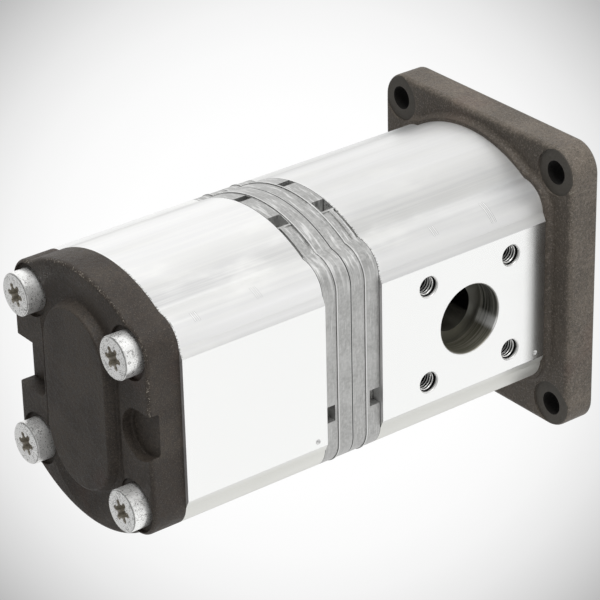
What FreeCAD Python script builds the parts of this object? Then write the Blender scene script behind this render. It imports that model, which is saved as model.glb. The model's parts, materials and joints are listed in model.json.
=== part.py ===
import FreeCAD, Part
import math
import os

# Tandem gear pump: two gear pump sections in line on one drive shaft, in millimetres.
# +X runs along the drive shaft towards the driven machine, +Z from the idler gears up to the
# drive gears, and the suction port opens towards -Y. The origin is on the drive shaft's axis,
# in the plane of the mounting face.

# Gears
gear_teeth = 12
gear_centres = 31.0
pressure_angle = 24.6
addendum = 2.45
root_clearance = 0.62
root_rounding = 0.67
backlash = 0.15
tip_gap = 0.15

# Shafts and bearings
journal_r = 9.0
running_gap = 0.03
bush_wall = 1.5
block_length = 20.0
axial_play = 0.05
fit_gap = 0.02
shaft_end_gap = 0.6
centre_hole_r = 2.0
centre_hole_depth = 5.0

# Outer section, the same for both bodies, both plates and the end cover
screw_spacing = 60.0
boss_r = 11.1
arch_rise = 8.9
kink_angle = 88.0
kink_fillet = 2.5
flat_proud = 1.6
flat_height = 55.6
bevel_angle = 6.0

# Lengths along the shaft
flange_t = 12.6
seat_t = 2.7
front_body_length = 77.0
rear_body_length = 61.0
plate_t = 12.65
end_cover_t = 13.5

# Front cover: seat for the body, flange that stands out beyond the seat, and pilot
seat_margin = 1.4
seat_fillet_share = 0.4
flange_side_lip = 10.6
flange_top_lip = 5.1
flange_foot_lip = 7.1
flange_corner_r = 10.5
flange_edge_r = 2.2
flange_hole_side_inset = 9.1
flange_hole_end_inset = 9.5
flange_hole_r = 4.5
flange_spot_r = 9.0
flange_spot_depth = 0.7
pilot_r = 25.0
pilot_height = 7.0
pilot_chamfer = 1.0

# Shaft seal and its retaining ring, both in the front cover
seal_bore_r = 16.0
seal_width = 7.0
seal_wall = 1.6
seal_neck = 1.6
seal_lip_gap = 0.05
seal_lip_inset = 1.2
seal_lip_rise = 1.4
seal_lip_back = 0.8
seal_lip_front = 0.6
ring_t = 1.2
ring_depth = 0.9
ring_width = 2.0
ring_slot = 0.1
ring_opening = 9.0
ring_inset = 1.2
ring_eye_r = 1.7
ring_eye_hole_r = 0.7
ring_eye_inset = 0.3
shaft_hole_gap = 0.6

# Splined drive end
spline_teeth = 9
spline_tip_r = 8.25
spline_root_r = 6.85
spline_tip_width = 1.6
spline_root_width = 3.2
spline_neck = 2.0
spline_start = 11.0
spline_length = 16.5
spline_chamfer = 1.0
journal_chamfer = 0.5

# Tongue coupling between the two drive gears
tongue_width = 8.0
tongue_length = 7.5
tongue_round = 0.1
coupler_r = 12.0
coupler_gap = 0.6
slot_gap = 0.05

# Ports: one suction port, one pressure port for each section, all with the same screw square
port_screw_spacing = 38.9
port_screw_r = 4.0
port_screw_depth = 14.0
port_screw_sink = 0.35
suction_from_seat = 36.1
suction_r = 13.5
suction_depth = 11.5
suction_throat_r = 9.3
suction_chamfer = 0.5
pressure_r = 9.0
pressure_depth = 12.0
pressure_throat_r = 6.0
pressure_chamfer = 0.5
channel_r = 7.0
channel_y = 24.0
chamber_r = 8.0

# Seals between the casing pieces and behind the bearing blocks. The share is the part of the
# free room between gear bore and screw hole that stays inside the seal.
body_seal_share = 0.41
body_seal_width = 2.2
body_seal_depth = 1.8
channel_seal_offset = 2.0
block_seal_r = 13.7
block_seal_width = 2.0
block_seal_t = 1.2
backup_t = 0.8
relief_width = 6.0
relief_reach = 3.2
relief_depth = 1.2

# Clamp screws with six-lobe sockets, and dowel pins
screw_r = 5.0
screw_hole_gap = 0.25
screw_thread_depth = 10.0
screw_hole_tip = 2.0
screw_head_r = 8.0
screw_head_height = 7.6
screw_head_chamfer = 0.5
socket_r = 4.47
socket_lobe_r = 1.03
socket_lobe_bow = 115.0
socket_dip = 1.81
socket_depth = 3.0
spot_face_r = 10.0
spot_face_depth = 1.6
dowel_r = 3.0
dowel_length = 9.0
dowel_outset = 8.5
dowel_wall = 1.3

# Die-cast intermediate plates
parting_width = 0.6
parting_height = 0.3
pocket_width = 4.8
pocket_depth = 4.0
pocket_low = 20.5
pocket_high = 14.0
window_width = 5.6
window_depth = 5.0
window_spans = [(-15.8, -10.0), (6.0, 10.0)]
slit_span = (-31.0, -16.5)
slit_width = 0.9
slit_depth = 1.5
band_start = 2.6
band_end = 6.1
band_depth = 0.5

# End cover: raised pad with drafted sides in a dished face, and a cast pocket on each side
cover_edge_r = 1.6
pad_r = 18.6
pad_straight = 32.8
pad_proud = 2.8
pad_draft = 1.5
pad_edge_r = 1.0
dish_depth = 1.2
dish_floor_width = 2.0
dish_side_slope = 1.5
dish_end_slope = 8.5
dish_fillet = 0.8
near_pocket_r = 9.7
near_pocket_inset = 6.9
near_pocket_depth = 4.1
far_pocket_reach = 17.0
far_pocket_top = 8.8
far_pocket_low = 11.0
far_pocket_depth = 6.4
pocket_corner_r = 3.0
pocket_floor_r = 0.8

# Small drilled marks on the suction side flats
mark_r = 1.1
mark_depth = 0.8
mark_inset = 4.3
mark_drop = 25.2

# Worked-out radii and heights
pitch_r = gear_centres / 2
tip_r = pitch_r + addendum
root_r = gear_centres - tip_r - root_clearance
base_r = pitch_r * math.cos(math.radians(pressure_angle))
bore_r = tip_r + tip_gap
bush_r = journal_r + running_gap + bush_wall
mid_z = -gear_centres / 2
idler_z = -gear_centres
screw_half = screw_spacing / 2
screw_hole_r = screw_r + screw_hole_gap
screw_reach = math.hypot(screw_half, screw_half - pitch_r)
body_seal_room = screw_reach - screw_hole_r - bore_r - body_seal_width
body_seal_offset = body_seal_share * body_seal_room
dowel_y = channel_y + dowel_outset
dowel_z = channel_r + channel_seal_offset + body_seal_width + dowel_wall
arch_top = screw_half + boss_r + arch_rise
side_y = screw_half + boss_r
flat_y = side_y + flat_proud
socket_centre_r = socket_r - socket_lobe_r
shaft_end_x = spline_start + spline_length
flange_half_width = side_y + seat_margin + flange_side_lip
flange_top = arch_top + seat_margin + flange_top_lip
flange_foot = arch_top + seat_margin + flange_foot_lip
seal_front_x = pilot_height - ring_inset - ring_t - 2 * ring_slot

# Worked-out places along the shaft, from the mounting face back
seat_x = -flange_t - seat_t
front_end_x = seat_x - front_body_length
plate_seam_x = front_end_x - plate_t
rear_start_x = plate_seam_x - plate_t
rear_end_x = rear_start_x - rear_body_length
cover_face_x = rear_end_x - end_cover_t
suction_x = seat_x - suction_from_seat
rear_port_x = (rear_start_x + rear_end_x) / 2


def vec(x, y, z):
    return FreeCAD.Vector(x, y, z)


def rod_x(r, x0, x1, y=0.0, z=0.0):
    """Cylinder along X between two places."""
    return Part.makeCylinder(r, abs(x1 - x0), vec(min(x0, x1), y, z), vec(1, 0, 0))


def rod_y(r, y0, y1, x, z):
    """Cylinder along Y between two places."""
    return Part.makeCylinder(r, abs(y1 - y0), vec(x, min(y0, y1), z), vec(0, 1, 0))


def block(x0, x1, y0, y1, z0, z1):
    """Box between two corners."""
    low = vec(min(x0, x1), min(y0, y1), min(z0, z1))
    return Part.makeBox(abs(x1 - x0), abs(y1 - y0), abs(z1 - z0), low)


def round_point(x, r, angle, y=0.0, z=0.0):
    """Point in the plane at x, at a radius and an angle in radians from +Y."""
    return vec(x, y + r * math.cos(angle), z + r * math.sin(angle))


def turned(profile, y=0.0, z=0.0):
    """Solid turned about the X axis from a closed list of (x, radius) corners."""
    corners = [vec(x, y, z + r) for x, r in profile]
    wire = Part.makePolygon(corners + corners[:1])
    return Part.Face(wire).revolve(vec(0, y, z), vec(1, 0, 0), 360)


def fused(shapes):
    """One solid from several that touch or overlap."""
    return shapes[0].fuse(shapes[1:]).removeSplitter()


def prism(edges, x0, x1):
    """Solid between x0 and x1 from outline edges drawn in the plane x = x0."""
    wire = Part.Wire(Part.sortEdges(edges)[0])
    return Part.Face(wire).extrude(vec(x1 - x0, 0, 0))


def at(x, y, z):
    """Point of the casing section, with z counted from mid height."""
    return vec(x, y, mid_z + z)


def arc(a, b, c):
    return Part.Arc(a, b, c).toShape()


def line(a, b):
    return Part.LineSegment(a, b).toShape()


def corner_points(x, grow, start, end, sz):
    """Start, middle and end of the arc round a screw, at +Y, in degrees from the side."""
    r = boss_r + grow
    points = []
    for angle in (start, (start + end) / 2, end):
        a = math.radians(angle)
        points.append(at(x, screw_half + r * math.cos(a), sz * (screw_half + r * math.sin(a))))
    return points


def section_edges(x, grow=0.0, flats=False):
    """Casing outline: arch, arcs round the screws, and plain or proud flat sides."""
    low = bevel_angle if flats else 0.0
    edges = []
    corners = {}
    for sz in (1, -1):
        side, middle, top = corner_points(x, grow, low, kink_angle, sz)
        corners[sz] = side
        edges.append(arc(side, middle, top))
        edges.append(arc(side, middle, top).mirror(vec(0, 0, 0), vec(0, 1, 0)))
        other = vec(top.x, -top.y, top.z)
        edges.append(arc(other, at(x, 0, sz * (arch_top + grow)), top))
    if flats:
        upper = at(x, flat_y + grow, flat_height / 2)
        lower = at(x, flat_y + grow, -flat_height / 2)
        sides = [line(corners[1], upper), line(upper, lower), line(lower, corners[-1])]
    else:
        sides = [line(corners[1], corners[-1])]
    for edge in sides:
        edges.append(edge)
        edges.append(edge.mirror(vec(0, 0, 0), vec(0, 1, 0)))
    return edges


def kink_edges(shape, grow=0.0):
    """Lengthwise edges where the arch runs into the arcs round the screws."""
    top = corner_points(0.0, grow, 0.0, kink_angle, 1)[2]
    found = []
    for edge in shape.Edges:
        ends = [v.Point for v in edge.Vertexes]
        if len(ends) == 2 and abs(ends[0].x - ends[1].x) > 1.0:
            y = abs(ends[0].y)
            z = abs(ends[0].z - mid_z)
            if abs(y - top.y) < 0.01 and abs(z - (top.z - mid_z)) < 0.01:
                found.append(edge)
    return found


def casing_blank(x0, x1, grow=0.0, flats=False):
    """Plain length of the casing section, with its four lengthwise hollows rounded."""
    blank = prism(section_edges(x0, grow, flats), x0, x1)
    return blank.makeFillet(kink_fillet, kink_edges(blank, grow))


def screw_places():
    """Centres of the four clamp screws."""
    h = screw_half
    return [(y, mid_z + z) for y in (-h, h) for z in (-h, h)]


def screw_holes(x0, x1, r):
    return [rod_x(r, x0, x1, y, z) for y, z in screw_places()]


def dowel_places():
    return [(-dowel_y, mid_z - dowel_z), (dowel_y, mid_z + dowel_z)]


def dowel_holes(x):
    """Holes for both dowels across the seam at x."""
    half = dowel_length / 2 + fit_gap
    r = dowel_r + fit_gap
    return [rod_x(r, x - half, x + half, y, z) for y, z in dowel_places()]


def ring_outline(x0, x1, grow, around_channel):
    """Solid inside a seal line: both gear bores, and the suction channel where it passes."""
    r = bore_r + grow
    parts = [rod_x(r, x0, x1), rod_x(r, x0, x1, 0, idler_z), block(x0, x1, -r, r, idler_z, 0)]
    if around_channel:
        reach = channel_r + channel_seal_offset + grow - body_seal_offset
        parts.append(rod_x(reach, x0, x1, -channel_y, mid_z))
    return fused(parts)


def body_seal(x0, x1, around_channel, gap):
    """Flat seal ring, or its groove where the gap is 0."""
    inner = ring_outline(x0, x1, body_seal_offset + gap, around_channel)
    outer = ring_outline(x0, x1, body_seal_offset + body_seal_width - gap, around_channel)
    return outer.cut(inner)


def block_seal(x0, x1, gap):
    """Eight-shaped seal behind a bearing block: a ring round each shaft and a bar between."""
    half = block_seal_width / 2 - gap
    rings = []
    for z in (0.0, idler_z):
        rings.append(rod_x(block_seal_r + half, x0, x1, 0, z))
    bar = block(x0, x1, -half, half, idler_z, 0)
    shape = fused(rings + [bar])
    for z in (0.0, idler_z):
        shape = shape.cut(rod_x(block_seal_r - half, x0, x1, 0, z))
    return shape


def six_lobe_socket(x, y, z):
    """Hole with six round lobes, sunk towards +X from the head's face."""
    step = math.radians(60)
    bow = math.radians(socket_lobe_bow)

    def lobe_point(angle, turn):
        centre = round_point(x, socket_centre_r, angle, y, z)
        return round_point(x, socket_lobe_r, angle + turn, centre.y, centre.z)

    edges = []
    for k in range(6):
        a = k * step
        end = lobe_point(a, bow)
        edges.append(arc(lobe_point(a, -bow), lobe_point(a, 0), end))
        dip = round_point(x, socket_r - socket_dip, a + step / 2, y, z)
        edges.append(arc(end, dip, lobe_point(a + step, -bow)))
    return prism(edges, x, x + socket_depth)


def clamp_screws():
    """Four long socket screws from the end cover into the front cover."""
    seat = cover_face_x + spot_face_depth
    top = seat - screw_head_height
    c = screw_head_chamfer
    tip = seat_x + screw_thread_depth
    profile = [(top, 0), (top, screw_head_r - c), (top + c, screw_head_r), (seat, screw_head_r),
               (seat, screw_r), (tip - c, screw_r), (tip, screw_r - c), (tip, 0)]
    screws = []
    for y, z in screw_places():
        screws.append(turned(profile, y, z).cut(six_lobe_socket(top, y, z)))
    return Part.makeCompound(screws)


def dowel_pins():
    """Two pins across each of the five seams."""
    pins = []
    half = dowel_length / 2
    for x in (seat_x, front_end_x, plate_seam_x, rear_start_x, rear_end_x):
        for y, z in dowel_places():
            pins.append(rod_x(dowel_r, x - half, x + half, y, z))
    return Part.makeCompound(pins)


def flange_blank():
    """Rounded rectangular flange with its rear edge softened."""
    w = flange_half_width
    plate = block(-flange_t, 0, -w, w, mid_z - flange_foot, mid_z + flange_top)
    upright = [e for e in plate.Edges if abs(e.Vertexes[0].X - e.Vertexes[1].X) > 1.0]
    plate = plate.makeFillet(flange_corner_r, upright)
    return plate.makeFillet(flange_edge_r, rim_edges(plate, -flange_t))


def flange_hole_places():
    y = flange_half_width - flange_hole_side_inset
    top = flange_top - flange_hole_end_inset
    foot = flange_foot - flange_hole_end_inset
    return [(side * y, mid_z + z) for side in (-1, 1) for z in (-foot, top)]


def front_cover():
    """Cast flange with a seat for the body, a pilot, and a bore for the shaft seal."""
    seat = casing_blank(seat_x, 1.0 - flange_t, seat_margin)
    cover = fused([flange_blank(), seat])
    foot = []
    for edge in cover.Edges:
        box = edge.BoundBox
        middle = edge.CenterOfMass
        across = abs(middle.y) < flat_y + 2 * seat_margin
        if box.XLength < 0.01 and abs(middle.x + flange_t) < 0.01 and across:
            if abs(middle.z - mid_z) < arch_top + 2 * seat_margin:
                foot.append(edge)
    cover = cover.makeFillet(seat_fillet_share * flange_top_lip, foot)
    face = pilot_height
    pilot = turned([(-1, 0), (-1, pilot_r), (face - pilot_chamfer, pilot_r),
                    (face, pilot_r - pilot_chamfer), (face, 0)])
    cover = cover.fuse(pilot).removeSplitter()
    tools = [rod_x(journal_r + shaft_hole_gap, seat_x - 1, face + 1)]
    tools.append(rod_x(seal_bore_r, seal_front_x - seal_width, face + 1))
    tools.append(rod_x(seal_bore_r + ring_depth, seal_front_x, face - ring_inset))
    for y, z in flange_hole_places():
        tools.append(rod_x(flange_hole_r, seat_x, 1, y, z))
        tools.append(rod_x(flange_spot_r, seat_x, flange_spot_depth - flange_t, y, z))
    deep = seat_x + screw_thread_depth + screw_hole_tip
    tools += screw_holes(seat_x - 1, deep, screw_r + fit_gap)
    tools += dowel_holes(seat_x)
    return cover.cut(tools)


def shaft_seal():
    """Lip seal: stiff outer ring, front wall and a lip that runs down to the shaft."""
    x1 = seal_front_x
    x0 = x1 - seal_width
    inner_x = x1 - seal_wall
    outer = seal_bore_r - fit_gap
    lip = journal_r + seal_lip_gap
    neck = journal_r + seal_neck
    return turned([(x0, outer), (x1, outer), (x1, neck), (inner_x, lip + seal_lip_front),
                   (x0 + seal_lip_inset, lip), (x0 + seal_lip_back, lip + seal_lip_rise),
                   (inner_x, neck + seal_lip_inset), (inner_x, outer - seal_wall),
                   (x0, outer - seal_wall)])


def seal_retaining_ring():
    """Spring ring in its groove, with an eye on each side of the opening."""
    x0 = seal_front_x + ring_slot
    x1 = x0 + ring_t
    outer = seal_bore_r + ring_depth - ring_slot
    ring = rod_x(outer, x0, x1).cut(rod_x(seal_bore_r - ring_width, x0, x1))
    half = ring_opening / 2
    ring = ring.cut(block(x0, x1, -half, half, 0, outer))
    eye_y = half + ring_eye_r
    eye_z = math.sqrt((seal_bore_r - ring_eye_r - ring_eye_inset) ** 2 - eye_y ** 2)
    for side in (-1, 1):
        ring = ring.fuse(rod_x(ring_eye_r, x0, x1, side * eye_y, eye_z))
        ring = ring.cut(rod_x(ring_eye_hole_r, x0, x1, side * eye_y, eye_z))
    return ring.removeSplitter()


def threaded_port_holes(x, side):
    """Four tapped holes on a square, opening on the flat at -Y or +Y."""
    half = port_screw_spacing / 2
    wide = port_screw_r + port_screw_sink
    floor = side * (flat_y - port_screw_depth)
    holes = []
    for px in (x - half, x + half):
        for pz in (mid_z - half, mid_z + half):
            holes.append(rod_y(port_screw_r, floor, side * (flat_y + 1), px, pz))
            start = vec(px, side * (flat_y - port_screw_sink), pz)
            mouth = Part.makeCone(port_screw_r, wide, port_screw_sink, start, vec(0, side, 0))
            holes.append(mouth)
    return holes


def port_bore(x, side, r, depth, throat_r, chamfer):
    """Stepped port: chamfered mouth, bore, and a throat that opens into the gear chamber."""
    mouth = Part.makeCone(r, r + chamfer, chamfer, vec(x, side * (flat_y - chamfer), mid_z),
                          vec(0, side, 0))
    bore = rod_y(r, side * (flat_y - depth), side * (flat_y + 1), x, mid_z)
    throat = rod_y(throat_r, 0, side * (flat_y - depth + 1), x, mid_z)
    return [mouth, bore, throat]


def gear_chamber(x0, x1):
    return fused([rod_x(bore_r, x0, x1), rod_x(bore_r, x0, x1, 0, idler_z)])


def body_mark(x):
    """Small drilled mark near the lower edge of the suction side flat."""
    return Part.makeCone(mark_r, 0, mark_depth, vec(x, -flat_y, mid_z - mark_drop), vec(0, 1, 0))


def body_blank(x0, x1, channel_at_start, channel_at_end):
    """Extruded body with gear chamber, screw and dowel holes, and a seal groove at each end."""
    tools = [gear_chamber(x0 + 1, x1 - 1)]
    tools += screw_holes(x0 + 1, x1 - 1, screw_hole_r)
    tools += dowel_holes(x0) + dowel_holes(x1)
    tools.append(body_seal(x0 - body_seal_depth, x0, channel_at_start, 0.0))
    tools.append(body_seal(x1, x1 + body_seal_depth, channel_at_end, 0.0))
    tools.append(body_mark(x0 - mark_inset))
    return casing_blank(x0, x1, 0.0, True).cut(tools)


def front_body():
    body = body_blank(seat_x, front_end_x, False, True)
    tools = port_bore(suction_x, -1, suction_r, suction_depth, suction_throat_r, suction_chamfer)
    tools += port_bore(suction_x, 1, pressure_r, pressure_depth, pressure_throat_r, pressure_chamfer)
    tools += threaded_port_holes(suction_x, -1) + threaded_port_holes(suction_x, 1)
    tools.append(rod_x(channel_r, suction_x, front_end_x - 1, -channel_y, mid_z))
    return body.cut(tools)


def rear_body():
    body = body_blank(rear_start_x, rear_end_x, True, False)
    tools = port_bore(rear_port_x, 1, pressure_r, pressure_depth, pressure_throat_r, pressure_chamfer)
    tools += threaded_port_holes(rear_port_x, 1)
    tools.append(rod_x(channel_r, rear_start_x + 1, rear_port_x, -channel_y, mid_z))
    tools.append(rod_y(chamber_r, -channel_y - channel_r, 0, rear_port_x, mid_z))
    return body.cut(tools)


def arch_height(y):
    """Height of the arch above mid height at a distance y from the middle."""
    top = corner_points(0.0, 0.0, 0.0, kink_angle, 1)[2]
    rise = arch_top - (top.z - mid_z)
    radius = (top.y ** 2 + rise ** 2) / (2 * rise)
    return arch_top - radius + math.sqrt(radius ** 2 - y ** 2)


def arch_skin(x0, x1, depth, y0, y1, sz):
    """Outer skin of the plate's arch between two places across it."""
    ring = prism(section_edges(x0), x0, x1).cut(prism(section_edges(x0, -depth), x0, x1))
    z0 = mid_z + sz * screw_half
    return ring.common(block(x0, x1, y0, y1, z0, mid_z + sz * (arch_top + 1)))


def intermediate_plate(seam_x, outer_x):
    """Die-cast plate; its windows and pockets open at the seam with the body."""
    step = 1 if outer_x > seam_x else -1
    plate = casing_blank(seam_x, outer_x)
    line_x = (seam_x + outer_x) / 2
    half = parting_width / 2
    flash = prism(section_edges(line_x - half, parting_height), line_x - half, line_x + half)
    plate = plate.fuse(flash).removeSplitter()
    low, high = min(seam_x, outer_x), max(seam_x, outer_x)
    tools = [rod_x(coupler_r + coupler_gap, low - 1, high + 1)]
    tools.append(rod_x(channel_r, low - 1, high + 1, -channel_y, mid_z))
    tools += screw_holes(low - 1, high + 1, screw_hole_r)
    tools += dowel_holes(seam_x) + dowel_holes(outer_x)
    out = outer_x + step
    for side in (-1, 1):
        tools.append(block(outer_x - step * pocket_width, out, side * (side_y - pocket_depth),
                           side * (side_y + 1), mid_z - pocket_low, mid_z - pocket_high))
    for sz in (-1, 1):
        z1 = mid_z + sz * (arch_top + 1)
        for y0, y1 in window_spans:
            widest = max(abs(y0), abs(y1))
            floor = arch_height(widest) - window_depth
            tools.append(block(outer_x - step * window_width, out, y0, y1, mid_z + sz * floor, z1))
        y0, y1 = slit_span
        tools.append(arch_skin(outer_x, outer_x - step * slit_width, slit_depth, y0, y1, sz))
        tools.append(arch_skin(outer_x - step * band_start, outer_x - step * band_end,
                               band_depth, y0, y1, sz))
    return plate.cut(tools)


def front_intermediate_plate():
    plate = intermediate_plate(plate_seam_x, front_end_x)
    return plate.cut(body_seal(plate_seam_x, plate_seam_x + body_seal_depth, True, 0.0))


def rear_intermediate_plate():
    return intermediate_plate(plate_seam_x, rear_start_x)


def oval(x, side_grow, end_grow):
    """Closed upright oval of the end cover's pad, grown at its sides and at its ends."""
    w = pad_r + side_grow
    h = pad_straight / 2
    top = h + pad_r + end_grow
    edges = [arc(at(x, w, h), at(x, 0, top), at(x, -w, h)), line(at(x, -w, h), at(x, -w, -h)),
             arc(at(x, -w, -h), at(x, 0, -top), at(x, w, -h)), line(at(x, w, -h), at(x, w, h))]
    return Part.Wire(edges)


def rim_edges(shape, x):
    """Edges that lie in the plane at x."""
    return [e for e in shape.Edges if all(abs(v.X - x) < 0.01 for v in e.Vertexes)]


def pad():
    """Raised pad with drafted sides and a softened edge."""
    top_x = cover_face_x - pad_proud
    foot_x = cover_face_x + dish_depth
    solid = Part.makeLoft([oval(top_x, 0.0, 0.0), oval(foot_x, pad_draft, pad_draft)], True, True)
    return solid.makeFillet(pad_edge_r, rim_edges(solid, top_x))


def dish(pad_solid):
    """Shallow hollow round the pad: steep at the sides, and a long slope at both ends."""
    floor_x = cover_face_x + dish_depth
    floor = pad_draft + dish_floor_width
    mouth = oval(cover_face_x, floor + dish_side_slope, floor + dish_end_slope)
    hollow = Part.makeLoft([mouth, oval(floor_x, floor, floor)], True, True).cut(pad_solid)
    return hollow.makeFillet(dish_fillet, rim_edges(hollow, floor_x))


def near_pocket():
    """Round pocket with a straight top, open to the suction side of the end cover."""
    x0, x1 = cover_face_x - 1, cover_face_x + near_pocket_depth
    y = -side_y + near_pocket_inset
    r = near_pocket_r
    disc = rod_x(r, x0, x1, y, mid_z)
    pocket = fused([disc, block(x0, x1, y, -side_y - 1, mid_z, mid_z + r)])
    return pocket.makeFillet(pocket_floor_r, rim_edges(pocket, x1))


def far_pocket():
    """Deeper square pocket, open to the pressure side of the end cover."""
    x0, x1 = cover_face_x - 1, cover_face_x + far_pocket_depth
    pocket = block(x0, x1, side_y - far_pocket_reach, side_y + pocket_corner_r + 1,
                   mid_z - far_pocket_low, mid_z + far_pocket_top)
    inner = [e for e in pocket.Edges if abs(e.Vertexes[0].X - e.Vertexes[1].X) > 1.0
             and e.Vertexes[0].Y < side_y]
    return pocket.makeFillet(pocket_corner_r, inner)


def end_cover():
    """Cast cover with a softened rim, spot faces for the screws and a bare pad."""
    cover = casing_blank(rear_end_x, cover_face_x)
    cover = cover.makeFillet(cover_edge_r, rim_edges(cover, cover_face_x))
    raised = pad()
    cover = cover.cut(dish(raised)).fuse(raised).removeSplitter()
    tools = screw_holes(cover_face_x - 1, rear_end_x + 1, screw_hole_r)
    tools += screw_holes(cover_face_x - pad_proud - 1, cover_face_x + spot_face_depth, spot_face_r)
    tools += dowel_holes(rear_end_x)
    tools += [near_pocket(), far_pocket()]
    return cover.cut(tools)


def bearing_block(cover_side_x, step):
    """Eight-shaped block; step points from the casing piece behind it to the gears."""
    x0 = cover_side_x + step * axial_play
    x1 = x0 + step * block_length
    r = bore_r - fit_gap
    body = fused([rod_x(r, x0, x1), rod_x(r, x0, x1, 0, idler_z)])
    low, high = min(x0, x1) - 1, max(x0, x1) + 1
    tools = [rod_x(bush_r + fit_gap, low, high), rod_x(bush_r + fit_gap, low, high, 0, idler_z)]
    tools.append(block_seal(x0, x0 + step * (block_seal_t + backup_t), 0.0))
    waist = math.sqrt(bore_r ** 2 - pitch_r ** 2)
    for side in (-1, 1):
        tools.append(block(x1, x1 - step * relief_depth, side * (waist - relief_reach), side * bore_r,
                           mid_z - relief_width / 2, mid_z + relief_width / 2))
    return body.cut(tools)


def bush(cover_side_x, step, z):
    """Plain bearing bush, a little shorter than its block."""
    x0 = cover_side_x + step * (axial_play + block_seal_t)
    x1 = cover_side_x + step * (axial_play + block_length - axial_play)
    return rod_x(bush_r, x0, x1, 0, z).cut(rod_x(journal_r + running_gap, x0, x1, 0, z))


def block_rubber(cover_side_x, step):
    x0 = cover_side_x + step * axial_play
    return block_seal(x0, x0 + step * block_seal_t, fit_gap)


def block_backup(cover_side_x, step):
    x0 = cover_side_x + step * (axial_play + block_seal_t)
    return block_seal(x0, x0 + step * backup_t, fit_gap)


def involute(angle):
    return math.tan(angle) - angle


def half_tooth_angle(r):
    """Half the tooth's angle at radius r on the involute flank."""
    thickness = math.pi * pitch_r / gear_teeth - backlash / 2
    at_pitch = thickness / (2 * pitch_r)
    flank = involute(math.radians(pressure_angle)) - involute(math.acos(min(1.0, base_r / r)))
    return at_pitch + flank


def gear_edges(x, z, first_tooth):
    """Outline of a spur gear, with involute flanks and rounded roots."""
    pitch = 2 * math.pi / gear_teeth
    bottom_r = root_r + root_rounding
    steps = 5
    radii = [base_r + (tip_r - base_r) * k / steps for k in range(steps + 1)]
    widest = half_tooth_angle(base_r)

    def point(r, angle):
        return round_point(x, r, angle, 0.0, z)

    def flank(points):
        curve = Part.BSplineCurve()
        curve.interpolate(points)
        return curve.toShape()

    edges = []
    for tooth in range(gear_teeth):
        middle = math.radians(first_tooth) + tooth * pitch
        rising = [point(r, middle - half_tooth_angle(r)) for r in radii]
        falling = [point(r, middle + half_tooth_angle(r)) for r in reversed(radii)]
        edges.append(flank(rising))
        edges.append(arc(rising[-1], point(tip_r, middle), falling[0]))
        edges.append(flank(falling))
        start = point(bottom_r, middle + widest)
        end = point(bottom_r, middle + pitch - widest)
        edges.append(line(falling[-1], start))
        edges.append(arc(start, point(root_r, middle + pitch / 2), end))
        edges.append(line(end, point(base_r, middle + pitch - widest)))
    return edges


def gear_span(body_start_x, body_end_x):
    """Front and rear face of the gears between a body's two bearing blocks."""
    inset = block_length + 2 * axial_play
    return body_start_x - inset, body_end_x + inset


def toothed_rim(body_start_x, body_end_x, z, first_tooth):
    front, rear = gear_span(body_start_x, body_end_x)
    return prism(gear_edges(rear, z, first_tooth), rear, front)


def centre_hole(x, step, z):
    """Lathe centre in a shaft's end."""
    return Part.makeCone(centre_hole_r, 0, centre_hole_depth, vec(x, 0, z), vec(step, 0, 0))


def tongue(x0, x1, upright):
    """Flat driving tongue on a shaft's end."""
    half = tongue_width / 2
    r = journal_r
    if upright:
        flat = block(x0, x1, -half, half, -r, r)
    else:
        flat = block(x0, x1, -r, r, -half, half)
    return flat.common(rod_x(r - tongue_round, x0, x1))


def spline_edges(x):
    """Outline of the spline, with straight flanks on the root circle."""
    pitch = 2 * math.pi / spline_teeth
    root_half = math.asin(spline_root_width / 2 / spline_root_r)
    tip_half = math.asin(spline_tip_width / 2 / spline_tip_r)
    edges = []
    for tooth in range(spline_teeth):
        middle = tooth * pitch
        rise = round_point(x, spline_root_r, middle - root_half)
        first = round_point(x, spline_tip_r, middle - tip_half)
        last = round_point(x, spline_tip_r, middle + tip_half)
        fall = round_point(x, spline_root_r, middle + root_half)
        following = round_point(x, spline_root_r, middle + pitch - root_half)
        edges.append(line(rise, first))
        edges.append(arc(first, round_point(x, spline_tip_r, middle), last))
        edges.append(line(last, fall))
        edges.append(arc(fall, round_point(x, spline_root_r, middle + pitch / 2), following))
    return edges


def spline():
    """Splined shaft end, chamfered at both ends of its teeth."""
    x0, x1 = spline_start, shaft_end_x
    c = spline_chamfer
    envelope = turned([(x0, 0), (x0, spline_tip_r - c), (x0 + c, spline_tip_r),
                       (x1 - c, spline_tip_r), (x1, spline_tip_r - c), (x1, 0)])
    return prism(spline_edges(x0), x0, x1).common(envelope)


def front_drive_gear():
    """Drive gear and shaft in one piece: splined nose, journals, teeth and rear tongue."""
    tail = front_end_x + shaft_end_gap
    nose = spline_start - spline_neck
    profile = [(tail, 0), (tail, journal_r), (nose - journal_chamfer, journal_r),
               (nose, journal_r - journal_chamfer), (nose, spline_root_r),
               (spline_start, spline_root_r), (spline_start, 0)]
    rim = toothed_rim(seat_x, front_end_x, 0.0, -90.0)
    drive = tongue(tail - tongue_length, tail + 1, True)
    shaft = fused([turned(profile), spline(), rim, drive])
    return shaft.cut(centre_hole(shaft_end_x, -1, 0.0))


def rear_drive_gear():
    """Rear drive gear and shaft in one piece, with its tongue at the front."""
    nose = rear_start_x - shaft_end_gap
    tail = rear_end_x + shaft_end_gap
    rim = toothed_rim(rear_start_x, rear_end_x, 0.0, -90.0)
    drive = tongue(nose - 1, nose + tongue_length, False)
    shaft = fused([rod_x(journal_r, tail, nose), rim, drive])
    return shaft.cut(centre_hole(tail, 1, 0.0))


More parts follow.
